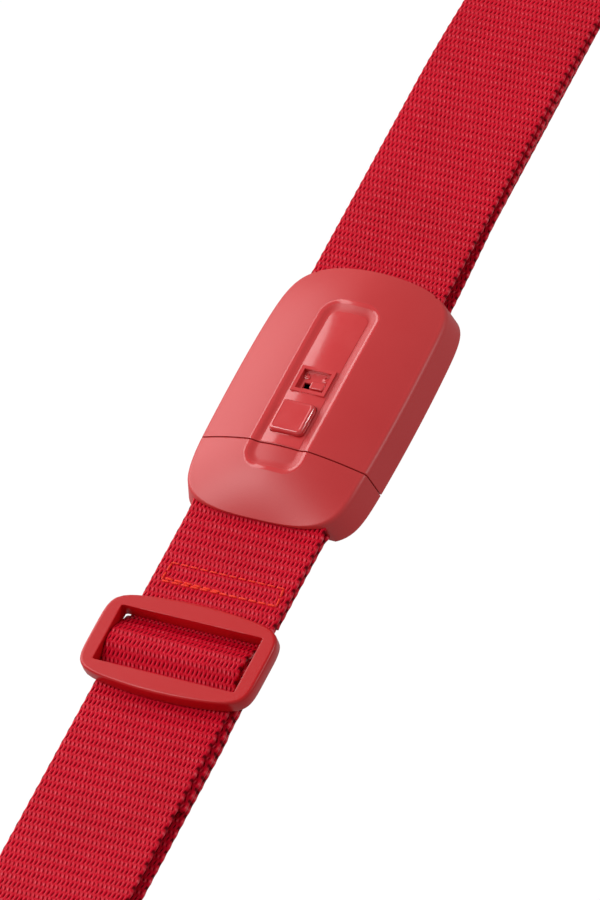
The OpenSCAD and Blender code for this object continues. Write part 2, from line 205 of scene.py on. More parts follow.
def loft(name, rings, uv=None, caps=True, closed=False):
    """A skin through rings of points (rows, columns, 3), each ring closed. uv has one column more."""
    rows, cols = rings.shape[:2]
    index = np.arange(rows * cols).reshape(rows, cols)
    following = np.roll(index, -1, axis=1)
    if closed:
        a, b = index, np.roll(index, -1, axis=0)
        c, d = np.roll(following, -1, axis=0), following
    else:
        a, b, c, d = index[:-1], index[1:], following[1:], following[:-1]
    quads = np.stack([a, d, c, b], axis=-1).reshape(-1, 4)
    corners = None
    if uv is not None:
        corners = np.stack([uv[:-1, :-1], uv[:-1, 1:], uv[1:, 1:], uv[1:, :-1]], axis=2)
        corners = corners.reshape(-1, 2)
    made = mesh_object(name, rings.reshape(-1, 3), quads=quads, uv=corners)
    if caps and not closed:
        close_ends(made)
    return made


def close_ends(made):
    """Fills the open ends of a loft."""
    work = bmesh.new()
    work.from_mesh(made.data)
    edges = [e for e in work.edges if e.is_boundary]
    bmesh.ops.holes_fill(work, edges=edges, sides=0)
    bmesh.ops.recalc_face_normals(work, faces=work.faces)
    work.to_mesh(made.data)
    work.free()


def sharpen(made, angle=35):
    """Smooth shading, with edges sharper than angle left crisp."""
    made.data.polygons.foreach_set("use_smooth", np.ones(len(made.data.polygons), bool))
    work = bmesh.new()
    work.from_mesh(made.data)
    for edge in work.edges:
        if edge.is_manifold:
            edge.smooth = edge.calc_face_angle(0) < math.radians(angle)
    work.to_mesh(made.data)
    work.free()


def apply_modifiers(made):
    """Bakes an object's modifiers into its mesh."""
    graph = bpy.context.evaluated_depsgraph_get()
    mesh = bpy.data.meshes.new_from_object(made.evaluated_get(graph))
    made.modifiers.clear()
    made.data = mesh


def cut(target, cutter):
    """Takes cutter out of target and deletes it."""
    modifier = target.modifiers.new("cut", "BOOLEAN")
    modifier.operation = "DIFFERENCE"
    modifier.solver = "EXACT"
    modifier.object = cutter
    apply_modifiers(target)
    bpy.data.objects.remove(cutter)


def prism(name, outline, z0, z1):
    """A straight block over an outline in X and Y."""
    outline = np.asarray(outline, float)
    count = len(outline)
    points = np.vstack([np.c_[outline, np.full(count, z)] for z in (z0, z1)])
    sides = [[i, (i + 1) % count, count + (i + 1) % count, count + i] for i in range(count)]
    faces = sides + [list(range(count))[::-1], list(range(count, 2 * count))]
    return mesh_object(name, points, faces=faces, smooth=False)


def rounded_box(x0, x1, y0, y1, radius, steps=6):
    """Outline of a rectangle with round corners, anticlockwise."""
    corners = [(x1, y1, 0), (x0, y1, 90), (x0, y0, 180), (x1, y0, 270)]
    points = []
    for x, y, start in corners:
        cx = x - radius if start in (0, 270) else x + radius
        cy = y - radius if start in (0, 90) else y + radius
        for i in range(steps + 1):
            a = math.radians(start + 90 * i / steps)
            points.append((cx + radius * math.cos(a), cy + radius * math.sin(a)))
    return points


# ---- Materials ----

def srgb(r, g, b):
    """Linear colour from 0-255 display values."""
    def linear(c):
        c /= 255
        return c / 12.92 if c <= 0.04045 else ((c + 0.055) / 1.055) ** 2.4
    return (linear(r), linear(g), linear(b), 1)


class Shader:
    """A material's node tree, with short calls for the nodes used here."""

    def __init__(self, name, colour, roughness, **sockets):
        self.material = bpy.data.materials.new(name)
        self.material.use_nodes = True
        self.tree = self.material.node_tree
        self.surface = self.tree.nodes["Principled BSDF"]
        self.surface.inputs["Base Color"].default_value = colour
        self.surface.inputs["Roughness"].default_value = roughness
        for socket, value in sockets.items():
            self.surface.inputs[socket.replace("_", " ")].default_value = value

    def node(self, kind, inputs=(), **settings):
        made = self.tree.nodes.new(kind)
        for key, value in settings.items():
            setattr(made, key, value)
        for socket, value in dict(inputs).items():
            self.feed(made.inputs[socket], value)
        return made

    def feed(self, socket, value):
        if isinstance(value, bpy.types.NodeSocket):
            self.tree.links.new(value, socket)
        else:
            socket.default_value = value

    def math(self, operation, a, b=0.0, clamp=False):
        made = self.node("ShaderNodeMath", {0: a, 1: b}, operation=operation, use_clamp=clamp)
        return made.outputs[0]

    def mix(self, factor, a, b):
        made = self.node("ShaderNodeMix", {"Factor": factor, "A": a, "B": b}, data_type="RGBA")
        return made.outputs["Result"]

    def place(self):
        return self.node("ShaderNodeTexCoord").outputs["Object"]

    def noise(self, scale, detail=2.0, vector=None):
        inputs = {"Scale": scale, "Detail": detail, "Vector": vector or self.place()}
        return self.node("ShaderNodeTexNoise", inputs).outputs["Fac"]

    def spread(self, value, low, high, to_low=0.0, to_high=1.0):
        inputs = {0: value, 1: low, 2: high, 3: to_low, 4: to_high}
        return self.node("ShaderNodeMapRange", inputs).outputs[0]

    def bump(self, height, distance, strength=1.0, under=None):
        inputs = {"Strength": strength, "Distance": distance * MM, "Height": height}
        if under is not None:
            inputs["Normal"] = under
        return self.node("ShaderNodeBump", inputs).outputs["Normal"]

    def colour(self, value):
        self.feed(self.surface.inputs["Base Color"], value)

    def roughness(self, value):
        self.feed(self.surface.inputs["Roughness"], value)

    def normal(self, value):
        self.feed(self.surface.inputs["Normal"], value)


def webbing_material():
    """Woven polyester: painted shade darkens the pits between the yarns, and painted highlights brighten
    the curls beside them and the dots between rows.
    """
    s = Shader("webbing", srgb(190, 14, 36), 0.4, Specular_IOR_Level=0.3)
    s.surface.inputs["Specular Tint"].default_value = srgb(255, 96, 112)
    uv = s.node("ShaderNodeUVMap", uv_map="weave").outputs[0]
    parts = s.node("ShaderNodeSeparateXYZ", {0: uv})
    u, v = parts.outputs[0], parts.outputs[1]
    wander = s.math("MULTIPLY", s.math("SINE", s.math("MULTIPLY", u, TAU)), 0.1)
    column = s.math("ADD", v, wander)
    along = s.math("COSINE", s.math("MULTIPLY", u, TAU))

    def spot(offset, row, narrow, short):
        """Mask of one spot per cell: in the pits' row for row 1, between the rows for -1."""
        across = s.math("COSINE", s.math("MULTIPLY", s.math("ADD", column, offset), TAU))
        return s.math("MULTIPLY",
                      s.math("POWER", s.math("MAXIMUM", across, 0.0), narrow),
                      s.math("POWER", s.math("MAXIMUM", s.math("MULTIPLY", along, row), 0.0), short))

    long_pit = spot(0.0, 1.0, 2.6, 1.2)
    short_pit = s.math("MULTIPLY", spot(0.5, -1.0, 2.8, 1.8), 0.85)
    pit = s.math("ADD", long_pit, short_pit, clamp=True)
    # Painted highlight: a bright curl on the yarn beside each pit.
    curl_highlight = spot(0.4, 1.0, 2.2, 1.0)
    # Painted highlights: pale dots between the rows of pits.
    highlight_dots = spot(0.08, -1.0, 3.0, 3.0)
    stretched = s.node("ShaderNodeMapping", {"Vector": uv, "Scale": (1.0, 7.0, 1.0)}).outputs[0]
    fibre = s.noise(3.0, 3.0, stretched)
    glint = s.spread(s.noise(0.9, 3.0, uv), 0.4, 0.62)
    blotch = s.noise(55.0, 2.0)
    lit = s.mix(s.spread(fibre, 0.35, 0.7), srgb(186, 1, 28), srgb(208, 8, 40))
    lit = s.mix(s.spread(blotch, 0.35, 0.65, 0.0, 0.35), lit, srgb(172, 1, 23))
    # Painted highlight on the curls beside the pits.
    lit = s.mix(s.math("MULTIPLY", curl_highlight, 0.6), lit, srgb(226, 26, 52))
    # Painted highlights on the dots between the rows, their strength varied by a painted glint.
    lit = s.mix(s.math("MULTIPLY", highlight_dots, s.math("ADD", 0.12, s.math("MULTIPLY", glint, 0.5))),
                lit, srgb(250, 116, 128))
    # Painted shade: the pits between the yarns are darkened towards a deep red.
    s.colour(s.mix(s.spread(pit, 0.1, 0.8), lit, srgb(92, 0, 8)))
    s.roughness(s.spread(pit, 0.0, 1.0, 0.36, 0.8))
    fine = s.bump(fibre, 0.12, 0.8)
    s.normal(s.bump(s.math("SUBTRACT", 1.0, pit), 0.3, 0.7, fine))
    return s.material


def thread_material():
    """Orange-red sewing thread with its twist."""
    s = Shader("thread", srgb(238, 72, 46), 0.4, Specular_IOR_Level=0.2)
    parts = s.node("ShaderNodeSeparateXYZ", {0: s.place()})
    slant = s.math("ADD", parts.outputs[0], parts.outputs[1])
    twist = s.math("SINE", s.math("MULTIPLY", slant, 12000.0))
    s.colour(s.mix(s.spread(twist, -1.0, 1.0, 0.0, 0.6), srgb(246, 62, 38), srgb(216, 34, 24)))
    s.normal(s.bump(twist, 0.05, 0.7))
    return s.material


def moulded_material(name, colour, pale_tone_and_edge_highlight, roughness, grain=0.04, sheen=0.5):
    """Moulded plastic: a fine grain, slight cloudiness in colour and gloss, and convex edges made paler by
    a painted highlight.
    """
    s = Shader(name, colour, roughness, Specular_IOR_Level=sheen)
    cloud = s.noise(45.0, 3.0)
    speck = s.noise(2600.0, 2.0)
    edge = s.node("ShaderNodeNewGeometry").outputs["Pointiness"]
    tone = s.mix(s.spread(cloud, 0.3, 0.7, 0.0, 0.3), colour, pale_tone_and_edge_highlight)
    # Painted highlight: convex edges, picked by their pointiness, are mixed towards the paler colour.
    s.colour(s.mix(s.spread(edge, 0.52, 0.62, 0.0, 0.5), tone, pale_tone_and_edge_highlight))
    s.roughness(s.math("ADD", roughness - 0.04, s.math("MULTIPLY", cloud, 0.08)))
    s.normal(s.bump(speck, grain, 0.5))
    return s.material


def polished_material():
    """Polished plastic with faint swirls from handling."""
    s = Shader("gloss", srgb(196, 44, 47), 0.16, Coat_Weight=0.5, Coat_Roughness=0.08)
    swirl = s.noise(120.0, 4.0)
    s.colour(s.mix(s.spread(swirl, 0.35, 0.65, 0.0, 0.4), srgb(194, 40, 43), srgb(202, 56, 57)))
    s.roughness(s.spread(swirl, 0.3, 0.7, 0.12, 0.24))
    s.normal(s.bump(s.noise(30.0, 1.0), 0.08, 0.15))
    return s.material


def steel_material():
    """Drawn steel with fine lines."""
    s = Shader("steel", (0.55, 0.55, 0.56, 1), 0.32, Metallic=1.0)
    lines = s.noise(900.0, 2.0, s.node(
        "ShaderNodeMapping", {"Vector": s.place(), "Scale": (1.0, 0.1, 1.0)}).outputs[0])
    s.roughness(s.spread(lines, 0.3, 0.7, 0.25, 0.42))
    s.normal(s.bump(lines, 0.02, 0.4))
    return s.material


WEBBING = webbing_material()
THREAD = thread_material()
HOUSING = moulded_material("housing", srgb(185, 38, 40), srgb(194, 54, 54), 0.42)
ADJUSTER = moulded_material("adjuster", srgb(180, 6, 14), srgb(188, 16, 22), 0.3, 0.02, 0.36)
BASE = moulded_material("base", srgb(168, 40, 42), srgb(182, 60, 60), 0.55)
TONGUE = moulded_material("tongue", srgb(158, 34, 42), srgb(190, 70, 74), 0.4)
MECHANISM = moulded_material("mechanism", srgb(60, 60, 64), srgb(90, 90, 94), 0.45)
GLOSS = polished_material()
STEEL = steel_material()

NODE_MATERIALS = {
    "housing": HOUSING, "adjuster": ADJUSTER, "base": BASE, "tongue": TONGUE,
    "mechanism": MECHANISM, "gloss": GLOSS, "steel": STEEL, "webbing": WEBBING, "thread": THREAD,
}


def dress_cad_nodes():
    """Every CAD node that stays in view gets the material of its slot."""
    slots = {row["node"]: row["material_slot"] for row in frame["record"]["subparts"]}
    for name, node in frame["nodes"].items():
        node.data.materials.clear()
        node.data.materials.append(NODE_MATERIALS[slots[name]])
        node.data.polygons.foreach_set("use_smooth", np.zeros(len(node.data.polygons), bool))


def finish_piece(made, material, nodes=(), body=None):
    """Material, slot, the CAD nodes it stands for and the body it rides on."""
    if not made.data.materials:
        made.data.materials.append(material)
    if nodes:
        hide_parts(*nodes)
    if body:
        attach(made, body)
    return made


# ---- Webbing ----

WARP_COLUMNS = 31.5
COLUMN = WEB_W / WARP_COLUMNS
RELIEF = 0.34
SELVEDGE = 0.2
SELVEDGE_W = 0.9
SELVEDGE_THIN = 0.12
SELVEDGE_ROUND = 0.35


def ease(u):
    """From 0 to 1 with a level start and end."""
    return (1 - np.cos(math.pi * np.clip(u, 0, 1))) / 2


def ramp(x0, z0, x1, z1, steps=24):
    """Path between two places that starts and ends level."""
    u = np.linspace(0, 1, steps + 1)
    return np.c_[x0 + (x1 - x0) * u, z0 + (z1 - z0) * ease(u)]


def arc(x, z, r, start, end, steps=24):
    """Path round a centre, between two angles in degrees."""
    a = np.radians(np.linspace(start, end, steps + 1))
    return np.c_[x + r * np.cos(a), z + r * np.sin(a)]


def resample(path, step):
    """The path at even steps of arc length, rounded slightly where its stretches meet."""
    keep = np.r_[True, np.linalg.norm(np.diff(path, axis=0), axis=1) > 1e-6]
    path = path[keep]
    length = np.r_[0, np.cumsum(np.linalg.norm(np.diff(path, axis=0), axis=1))]
    count = max(int(round(length[-1] / step)), 2)
    at = np.linspace(0, length[-1], count + 1)
    even = np.c_[np.interp(at, length, path[:, 0]), np.interp(at, length, path[:, 1])]
    for _ in range(max(int(1.0 / step), 1)):
        even[1:-1] = (even[:-2] + 2 * even[1:-1] + even[2:]) / 4
    return even, at


def relief(u, v):
    """Depth of the weave below its crowns, from 0 to 1, at lattice place (u, v)."""
    across = np.cos(TAU * (v + 0.09 * np.sin(TAU * u)))
    along = np.cos(TAU * u)
    long_pit = np.maximum(across, 0) ** 1.6 * np.maximum(along, 0) ** 0.6
    short_pit = np.maximum(-across, 0) ** 2 * np.maximum(-along, 0) ** 1.5
    groove = 0.2 * (1 - np.abs(along)) ** 2
    return np.clip(long_pit + 0.75 * short_pit + groove, 0, 1)


def webbing(name, path, y, period, columns=150, step=0.42, under=36):
    """One layer of webbing along a path in X and Z, its weave on the side to the path's left.

    y is the layer's middle across the strap, a number or a function of X; period is the length
    of a pair of woven rows; columns and under are the points across its two sides.
    """
    line, at = resample(np.asarray(path, float), step)
    tangent = np.gradient(line, axis=0)
    tangent /= np.linalg.norm(tangent, axis=1, keepdims=True)
    normal = np.c_[-tangent[:, 1], tangent[:, 0]]
    x = line[:, 0]
    middle = np.array([y(a) for a in x]) if callable(y) else np.full(len(x), float(y))
    u = at / period

    # One closed section: top, round side, bottom and the other side, as shares of the half width
    side = np.sin(np.linspace(90, -90, 7)[1:-1] * math.pi / 180)
    top = np.linspace(-1, 1, columns)
    bottom = np.linspace(1, -1, under)
    spread = np.r_[top, np.full(len(side), 1.0), bottom, np.full(len(side), -1.0)]
    lift = np.r_[np.ones(columns), side, -np.ones(under), -side]
    bulge = np.r_[np.zeros(columns), np.sqrt(1 - side ** 2), np.zeros(under), np.sqrt(1 - side ** 2)]
    v = np.r_[top + 1, np.full(len(side), 2.0), bottom + 1, np.zeros(len(side))] * WEB_W / 2 / COLUMN
    v = np.r_[v, v[0]]

    # The weave fades and the layer thins towards the selvedge, which has a scallop for each row
    depth = relief(u[:, None], v[None, :-1])
    edge = np.clip((1 - np.abs(spread)) * WEB_W / 2 / SELVEDGE_W, 0, 1)
    edge = edge[None, :] * np.ones((len(u), 1))
    depth = depth * (0.35 + 0.65 * edge)
    half_t = WEB_T / 2 - SELVEDGE_THIN * (1 - edge)
    height = lift * half_t - np.sign(lift) * (np.abs(lift) > 0.99) * RELIEF * depth
    scallop = SELVEDGE * (0.5 + 0.5 * np.cos(TAU * u)) ** 0.7
    half = WEB_W / 2 - SELVEDGE_THIN - scallop[:, None] * (1 - edge) * 0.8
    across = spread * half + np.sign(spread) * bulge * SELVEDGE_ROUND

    points = np.empty((len(u), len(spread), 3))
    points[:, :, 0] = x[:, None] + normal[:, :1] * height
    points[:, :, 1] = middle[:, None] + across
    points[:, :, 2] = line[:, 1:] + normal[:, 1:] * height
    uv = np.empty((len(u), len(v), 2))
    uv[:, :, 0] = u[:, None]
    uv[:, :, 1] = v[None, :]
    made = loft(name, points, uv)
    made["length"] = float(at[-1])
    return made


# Lengths of a pair of woven rows to the left and to the right of the buckle
PERIOD_LOW = 3.65
PERIOD_HIGH = 2.95
TOUCH = 0.05
BAR_X = (male_bar_low[0] + male_bar_high[0]) / 2
BAR_Z = (male_bar_low[2] + male_bar_high[2]) / 2
BAR_R = (male_bar_high[2] - male_bar_low[2]) / 2
F_BAR_X = (female_bar_low[0] + female_bar_high[0]) / 2
F_BAR_Z = (female_bar_low[2] + female_bar_high[2]) / 2
F_BAR_R = (female_bar_high[2] - female_bar_low[2]) / 2
WRAP_R = CENTRE_R + TOUCH + WEB_T / 2
HUMP_R = WRAP_R + PLY
TAIL_END = ADJ_X + 15.6
CLIMB_X = ADJ_X + 41.5
ANCHOR_END = ADJ_X - 41
LEFT_RAMP = (-187.4, -169.4)
RIGHT_RAMP = (100, 173)
WINDOW_SHIFT = 0.9
SIDE_STRAY = 0.4
BACK_STRAY = 1.5
COARSE = dict(columns=64, step=1.5, under=24)


def weave_piece(name, path, y, period, body, nodes, held, rests_on, blend=None, **settings):
    """One layer of webbing on body; blend names a second body with the X where it starts and ends, and
    when it is given the layer is instead baked in place and rides on no body.
    """
    made = webbing(name, path, y, period, **settings)
    finish_piece(made, WEBBING, nodes)
    if blend:
        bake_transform(made)
    else:
        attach(made, body)
    return made


def side_shift(x, amount):
    """Sideways shift of a layer that stays straight along the run and slips over in the fold."""
    return amount * float(ease((abs(x) - RUN_END) / (FOLD_X + FOLD_R - RUN_END)))


def fold(level, start_z, side):
    """The upper quarter of a fold, from the run to its apex, as a path away from the buckle."""
    r = FOLD_R - WEB_T / 2 - level * PLY
    path = np.vstack([
        ramp(RUN_END, start_z, FOLD_X, FOLD_R + r),
        arc(FOLD_X, FOLD_R, r, 85, 0),
    ])
    return path * [side, 1]


def back_run(level):
    """The run on the table with the lower quarter of both folds, from right to left."""
    r = FOLD_R - WEB_T / 2 - level * PLY
    half = np.vstack([arc(FOLD_X, FOLD_R, r, 0, -90), [[RUN_END - 30, FOLD_R - r]]])
    return np.vstack([half, half[::-1] * [-1, 1]])


def male_webbing():
    """From under the adjuster's bar, over the male bar and back below as the sewn tail."""
    r = BAR_R + TOUCH + WEB_T / 2
    path = np.vstack([
        [[ADJ_X + WINDOW_X - 0.5, UPPER_Z]],
        ramp(CLIMB_X, UPPER_Z, BAR_X, BAR_Z + r),
        arc(BAR_X, BAR_Z, r, 75, -75),
        ramp(BAR_X, BAR_Z - r, CLIMB_X, MIDDLE_Z),
        [[TAIL_END, MIDDLE_Z]],
    ])
    weave_piece("male_webbing_woven", path, 0.0, PERIOD_LOW,
                "root", ["male_webbing"], "stretched", ["male_strap_bar"],
                ("adjuster", BAR_X, ADJ_X + WINDOW_X))


def left_webbing():
    """The running layer, from the left fold to the adjuster, and the sewn layer round its centre bar."""
    running = np.vstack([
        fold(0, MIDDLE_Z, -1)[::-1],
        ramp(LEFT_RAMP[0], MIDDLE_Z, LEFT_RAMP[1], UPPER_Z),
        [[ADJ_X - WINDOW_X + 0.4, UPPER_Z]],
        arc(ADJ_X - CENTRE_HALF, CENTRE_Z, HUMP_R, 120, 90, 8),
        arc(ADJ_X + CENTRE_HALF, CENTRE_Z, HUMP_R, 90, 60, 8),
        [[ADJ_X + WINDOW_X - 0.5, UPPER_Z]],
    ])
    weave_piece("running_webbing_woven", running, running_y, PERIOD_LOW,
                "adjuster", ["adjuster_webbing"], "stretched", ["adjuster_frame"],
                ("root", ANCHOR_END - 6, -FOLD_X))
    anchor = np.vstack([
        fold(1, LOWER_Z, -1)[::-1],
        [[ADJ_X - WINDOW_X - 2, LOWER_Z]],
        ramp(ADJ_X - WINDOW_X, LOWER_Z, ADJ_X - CENTRE_HALF, CENTRE_Z - WRAP_R),
        arc(ADJ_X + CENTRE_HALF, CENTRE_Z, WRAP_R, -90, 90),
        arc(ADJ_X - CENTRE_HALF, CENTRE_Z, WRAP_R, 90, 120, 6),
        [[ADJ_X - WINDOW_X + 0.8, MIDDLE_Z], [ANCHOR_END, MIDDLE_Z]],
    ])
    weave_piece("anchor_webbing_woven", anchor, anchor_y, PERIOD_LOW,
                "adjuster", ["anchor_webbing"], "stretched", ["adjuster_frame"],
                ("root", ANCHOR_END - 6, -FOLD_X), columns=110, step=0.5)


def running_y(x):
    """The running layer sits to one side of the window and slips over in the fold."""
    return side_shift(x, BACK_Y) + WINDOW_SHIFT * float(ease((x - ADJ_X + 12) / 6))


def anchor_y(x):
    """The sewn layer stands out to one side away from the adjuster's posts."""
    away = float(ease((ADJ_X - ADJ_HALF_L - x) / 6))
    slip = float(ease((-RUN_END - x) / 36))
    return (LOWER_Y - SIDE_STRAY * away) * (1 - slip) + INNER_Y * slip


def back_y(side, x):
    """The back run strays further under the front run between the folds."""
    return side + BACK_STRAY * (1 - float(ease((abs(x) - 150) / 50)))


def back_webbing():
    """The two layers that lie on the table."""
    layers = (("outer", BACK_Y, "floor"), ("inner", INNER_Y, "back_webbing_outer_woven"))
    for level, (name, side, below) in enumerate(layers):
        weave_piece(f"back_webbing_{name}_woven", back_run(level), functools.partial(back_y, side),
                    PERIOD_LOW, "root", [f"back_webbing_{name}"], "laid", [below], **COARSE)


def upper_y(x):
    """The upper layer runs straight and slips over in the fold."""
    return side_shift(x, BACK_Y)


def lower_y(x):
    """The lower layer strays to one side between the buckle and the fold."""
    stray = float(ease((x - 45) / 50)) * (1 - float(ease((x - 180) / 60)))
    return -SIDE_STRAY * stray + side_shift(x, INNER_Y)


def female_webbing():
    """Both layers from the female bar, level at first and then down to the right fold."""
    r = F_BAR_R + TOUCH + WEB_T / 2
    top_z = F_BAR_Z + r
    start, end = RIGHT_RAMP
    upper = np.vstack([
        arc(F_BAR_X, F_BAR_Z, r, 180, 90),
        ramp(start, top_z, end, MIDDLE_Z, 40),
        fold(0, MIDDLE_Z, 1),
    ])
    lower = np.vstack([
        fold(1, LOWER_Z, 1)[::-1],
        ramp(end, LOWER_Z, start, top_z - PLY, 40),
        ramp(start - 5, top_z - PLY, F_BAR_X + 0.5, F_BAR_Z - r, 40),
        arc(F_BAR_X, F_BAR_Z, r, 270, 180),
    ])
    weave_piece("female_webbing_upper_woven", upper, upper_y, PERIOD_HIGH,
                "female_half", ["female_webbing"], "stretched", ["female_strap_bar"],
                ("root", 60, RUN_END), columns=130, step=0.5)
    weave_piece("female_webbing_lower_woven", lower, lower_y, PERIOD_HIGH,
                "female_half", [], "stretched", ["female_strap_bar"],
                ("root", 60, RUN_END), columns=90, step=0.7)


# ---- Stitching ----

THREAD_R = 0.27
STITCH_LENGTH = 2.8
STITCH_RISE = 0.16
SUNK = 0.1
SEAM_X_SHIFT = 1.2
SEAM_Y_SHIFT = -0.4


def stitch(start, end, radius, height):
    """One stitch: a thread that rises out of the webbing, lies along it and dives again."""
    sides, steps = 8, 8
    t = np.linspace(0, 1, steps + 1)
    axis = start * (1 - t)[:, None] + end * t[:, None]
    direction = (end - start) / np.linalg.norm(end - start)
    across = np.array([-direction[1], direction[0], 0])
    girth = radius * np.sqrt(np.clip(1 - (2 * t - 1) ** 6, 0.06, 1))
    lift = height * np.sqrt(np.clip(1 - (2 * t - 1) ** 4, 0, 1))
    angle = np.arange(sides) * TAU / sides
    rings = axis[:, None, :] + girth[:, None, None] * (
        np.cos(angle)[:, None] * across + np.sin(angle)[:, None] * np.array([0, 0, 1]))
    rings[:, :, 2] += lift[:, None]
    return rings


def stitches(name, runs, flip=1.0):
    """All the stitches of a seam as one mesh; a run is two ends with a radius, flip=-1 is below."""
    points, faces = [], []
    for start, end, radius in runs:
        start, end = np.array(start, float), np.array(end, float)
        count = max(int(round(np.linalg.norm(end - start) / STITCH_LENGTH)), 1)
        for i in range(count):
            a = start + (end - start) * (i + 0.06) / count
            b = start + (end - start) * (i + 0.94) / count
            rings = stitch(a, b, radius, STITCH_RISE)
            rings[:, :, 2] = start[2] + flip * (rings[:, :, 2] - start[2])
            base = sum(len(p) for p in points)
            rows, cols = rings.shape[:2]
            points.append(rings.reshape(-1, 3))
            for r in range(rows - 1):
                for c in range(cols):
                    d = (c + 1) % cols
                    faces.append([base + r * cols + c, base + r * cols + d,
                                  base + (r + 1) * cols + d, base + (r + 1) * cols + c])
            faces.append([base + c for c in range(cols)][::-1])
            faces.append([base + (rows - 1) * cols + c for c in range(cols)])
    made = mesh_object(name, np.vstack(points), faces=faces)
    close_ends(made)
    return made


def stitching():
    """Box seam beside the adjuster, and the hidden one that holds the anchored end."""
    x0, x1 = stitch_low[0] + SEAM_X_SHIFT, stitch_high[0] + SEAM_X_SHIFT
    y0, y1 = stitch_low[1] + SEAM_Y_SHIFT, stitch_high[1] + SEAM_Y_SHIFT
    z = UPPER_Z + WEB_T / 2 - SUNK
    made = stitches("male_stitching_sewn", [
        ((x1, y0, z), (x1, y1, z), THREAD_R * 0.8),
        ((x0, y0, z), (x0 - 0.3, y1, z), THREAD_R * 1.15),
        ((x0 + 0.55, y1 - 0.5, z), (x0 + 0.3, y1 - 17, z), THREAD_R * 1.1),
        ((x0, y0, z), (x1, y0 + 0.5, z), THREAD_R),
        ((x0 - 0.3, y1, z), (x1, y1 - 0.5, z), THREAD_R),
    ])
    finish_piece(made, THREAD, ["male_stitching"])
    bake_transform(made)

    x0, x1 = low_stitch_low[0], low_stitch_high[0]
    y0, y1 = low_stitch_low[1] + SEAM_Y_SHIFT, low_stitch_high[1] + SEAM_Y_SHIFT
    z = LOWER_Z - WEB_T / 2 + SUNK
    made = stitches("anchor_stitching_sewn", [
        ((x0, y0, z), (x0, y1, z), THREAD_R), ((x1, y0, z), (x1, y1, z), THREAD_R),
        ((x0, y0, z), (x1, y0, z), THREAD_R), ((x0, y1, z), (x1, y1, z), THREAD_R),
    ], flip=-1.0)
    finish_piece(made, THREAD, ["anchor_stitching"], "adjuster")


# ---- Buckle housings ----

def half_width(x):
    """Half width of the housing's foot at X."""
    u = np.minimum(np.abs(x) / HALF_L, 1)
    return (HALF_W - SIDE_BOW * u ** 2) * np.maximum(1 - u ** 10, 0) ** 0.25


def rounded_distance(x, y, x0, x1, half_y, radius):
    """Distance outside a round-cornered rectangle, negative inside."""
    dx = np.abs(x - (x0 + x1) / 2) - (x1 - x0) / 2 + radius
    dy = np.abs(y) - half_y + radius
    outside = np.hypot(np.maximum(dx, 0), np.maximum(dy, 0))
    return outside + np.minimum(np.maximum(dx, dy), 0) - radius


def smooth_step(value, low, high):
    """From 0 at low to 1 at high."""
    t = np.clip((value - low) / (high - low), 0, 1)
    return t * t * (3 - 2 * t)


def case_height(x, y):
    """Height of the housings' top, without the recess."""
    arch = SIDE_TOP + (CASE_TOP - SIDE_TOP) * (1 - (np.minimum(np.abs(y), ARCH_Y) / ARCH_Y) ** 1.8)
    out = np.clip((SEAM_X - x) / MALE_L, 0, 1)
    male = LIP_Z + (arch - LIP_Z) * (1 - out ** 1.8)
    along = np.clip((x - SEAM_X) / (2 * HALF_L - MALE_L), 0, 1)
    return np.where(x < SEAM_X, male, arch - END_DROP * along ** 6)


def recess_distance(x, y):
    """Distance outside the recess's outline, negative inside."""
    return rounded_distance(x, y, RECESS_X[0], RECESS_X[1], RECESS_Y, RECESS_R)


def floor_height(x, y):
    """Height of the recess's floor, which is a little arched like the housing."""
    return np.minimum(RECESS_Z, case_height(x, y) - RECESS_DEPTH)


def top_height(x, y):
    """Height of the top with the long recess, which fades into the slope of the male end."""
    plain = case_height(x, y)
    inside = 1 - smooth_step(recess_distance(x, y), *RECESS_WALL)
    return plain + (floor_height(x, y) - plain) * inside


def snap_to_recess(y, x, distance):
    """Moves one station onto the line at this distance from the recess, so that its border is even."""
    beyond = recess_distance(np.full_like(y, x), y) - distance
    crossing = np.nonzero(beyond[:-1] * beyond[1:] < 0)[0]
    if len(crossing):
        i = crossing[0]
        share = beyond[i] / (beyond[i] - beyond[i + 1])
        nearest = max(i + int(round(share)), 1)
        y[nearest] = y[i] + (y[i + 1] - y[i]) * share


def side_stations():
    """Places across half of the top, from 0 at the middle to 1 at the shoulder."""
    fine = np.linspace(0, 0.46, 56)
    return np.r_[fine, np.linspace(0.46, 1, 26)[1:]]


def section_size(x):
    """Half width of a housing's foot at X, with the shoulder's radius and the walls' draft there."""
    width = float(half_width(np.array(x)))
    small = min(1.0, width / 8 + 0.02)
    return width, EDGE_R * small, SIDE_DRAFT * small


def outer_section(x):
    """Outside of a housing at X, from one foot over the top to the other."""
    width, radius, draft = section_size(x)
    flat = max(width - draft - radius, 0.01)
    y = side_stations() * flat
    for distance in BORDER:
        snap_to_recess(y, x, distance)
    z = top_height(np.full_like(y, x), y)
    edge_z = z[-1]
    turn = np.radians(np.linspace(0, 82, 7))[1:]
    round_y = flat + radius * np.sin(turn)
    slope = (float(case_height(np.array(x), np.array(flat - 0.4))) - edge_z) / 0.4
    round_z = edge_z - radius * (1 - np.cos(turn)) - slope * 0.3 * (round_y - flat)
    down = np.linspace(0, 1, 7)[1:]
    wall_y = round_y[-1] + (width - round_y[-1]) * down
    wall_z = round_z[-1] + (CASE_Z - round_z[-1]) * down
    half = np.c_[np.r_[y, round_y, wall_y], np.r_[z, round_z, wall_z]]
    return np.vstack([half[::-1], half[1:] * [-1, 1]])


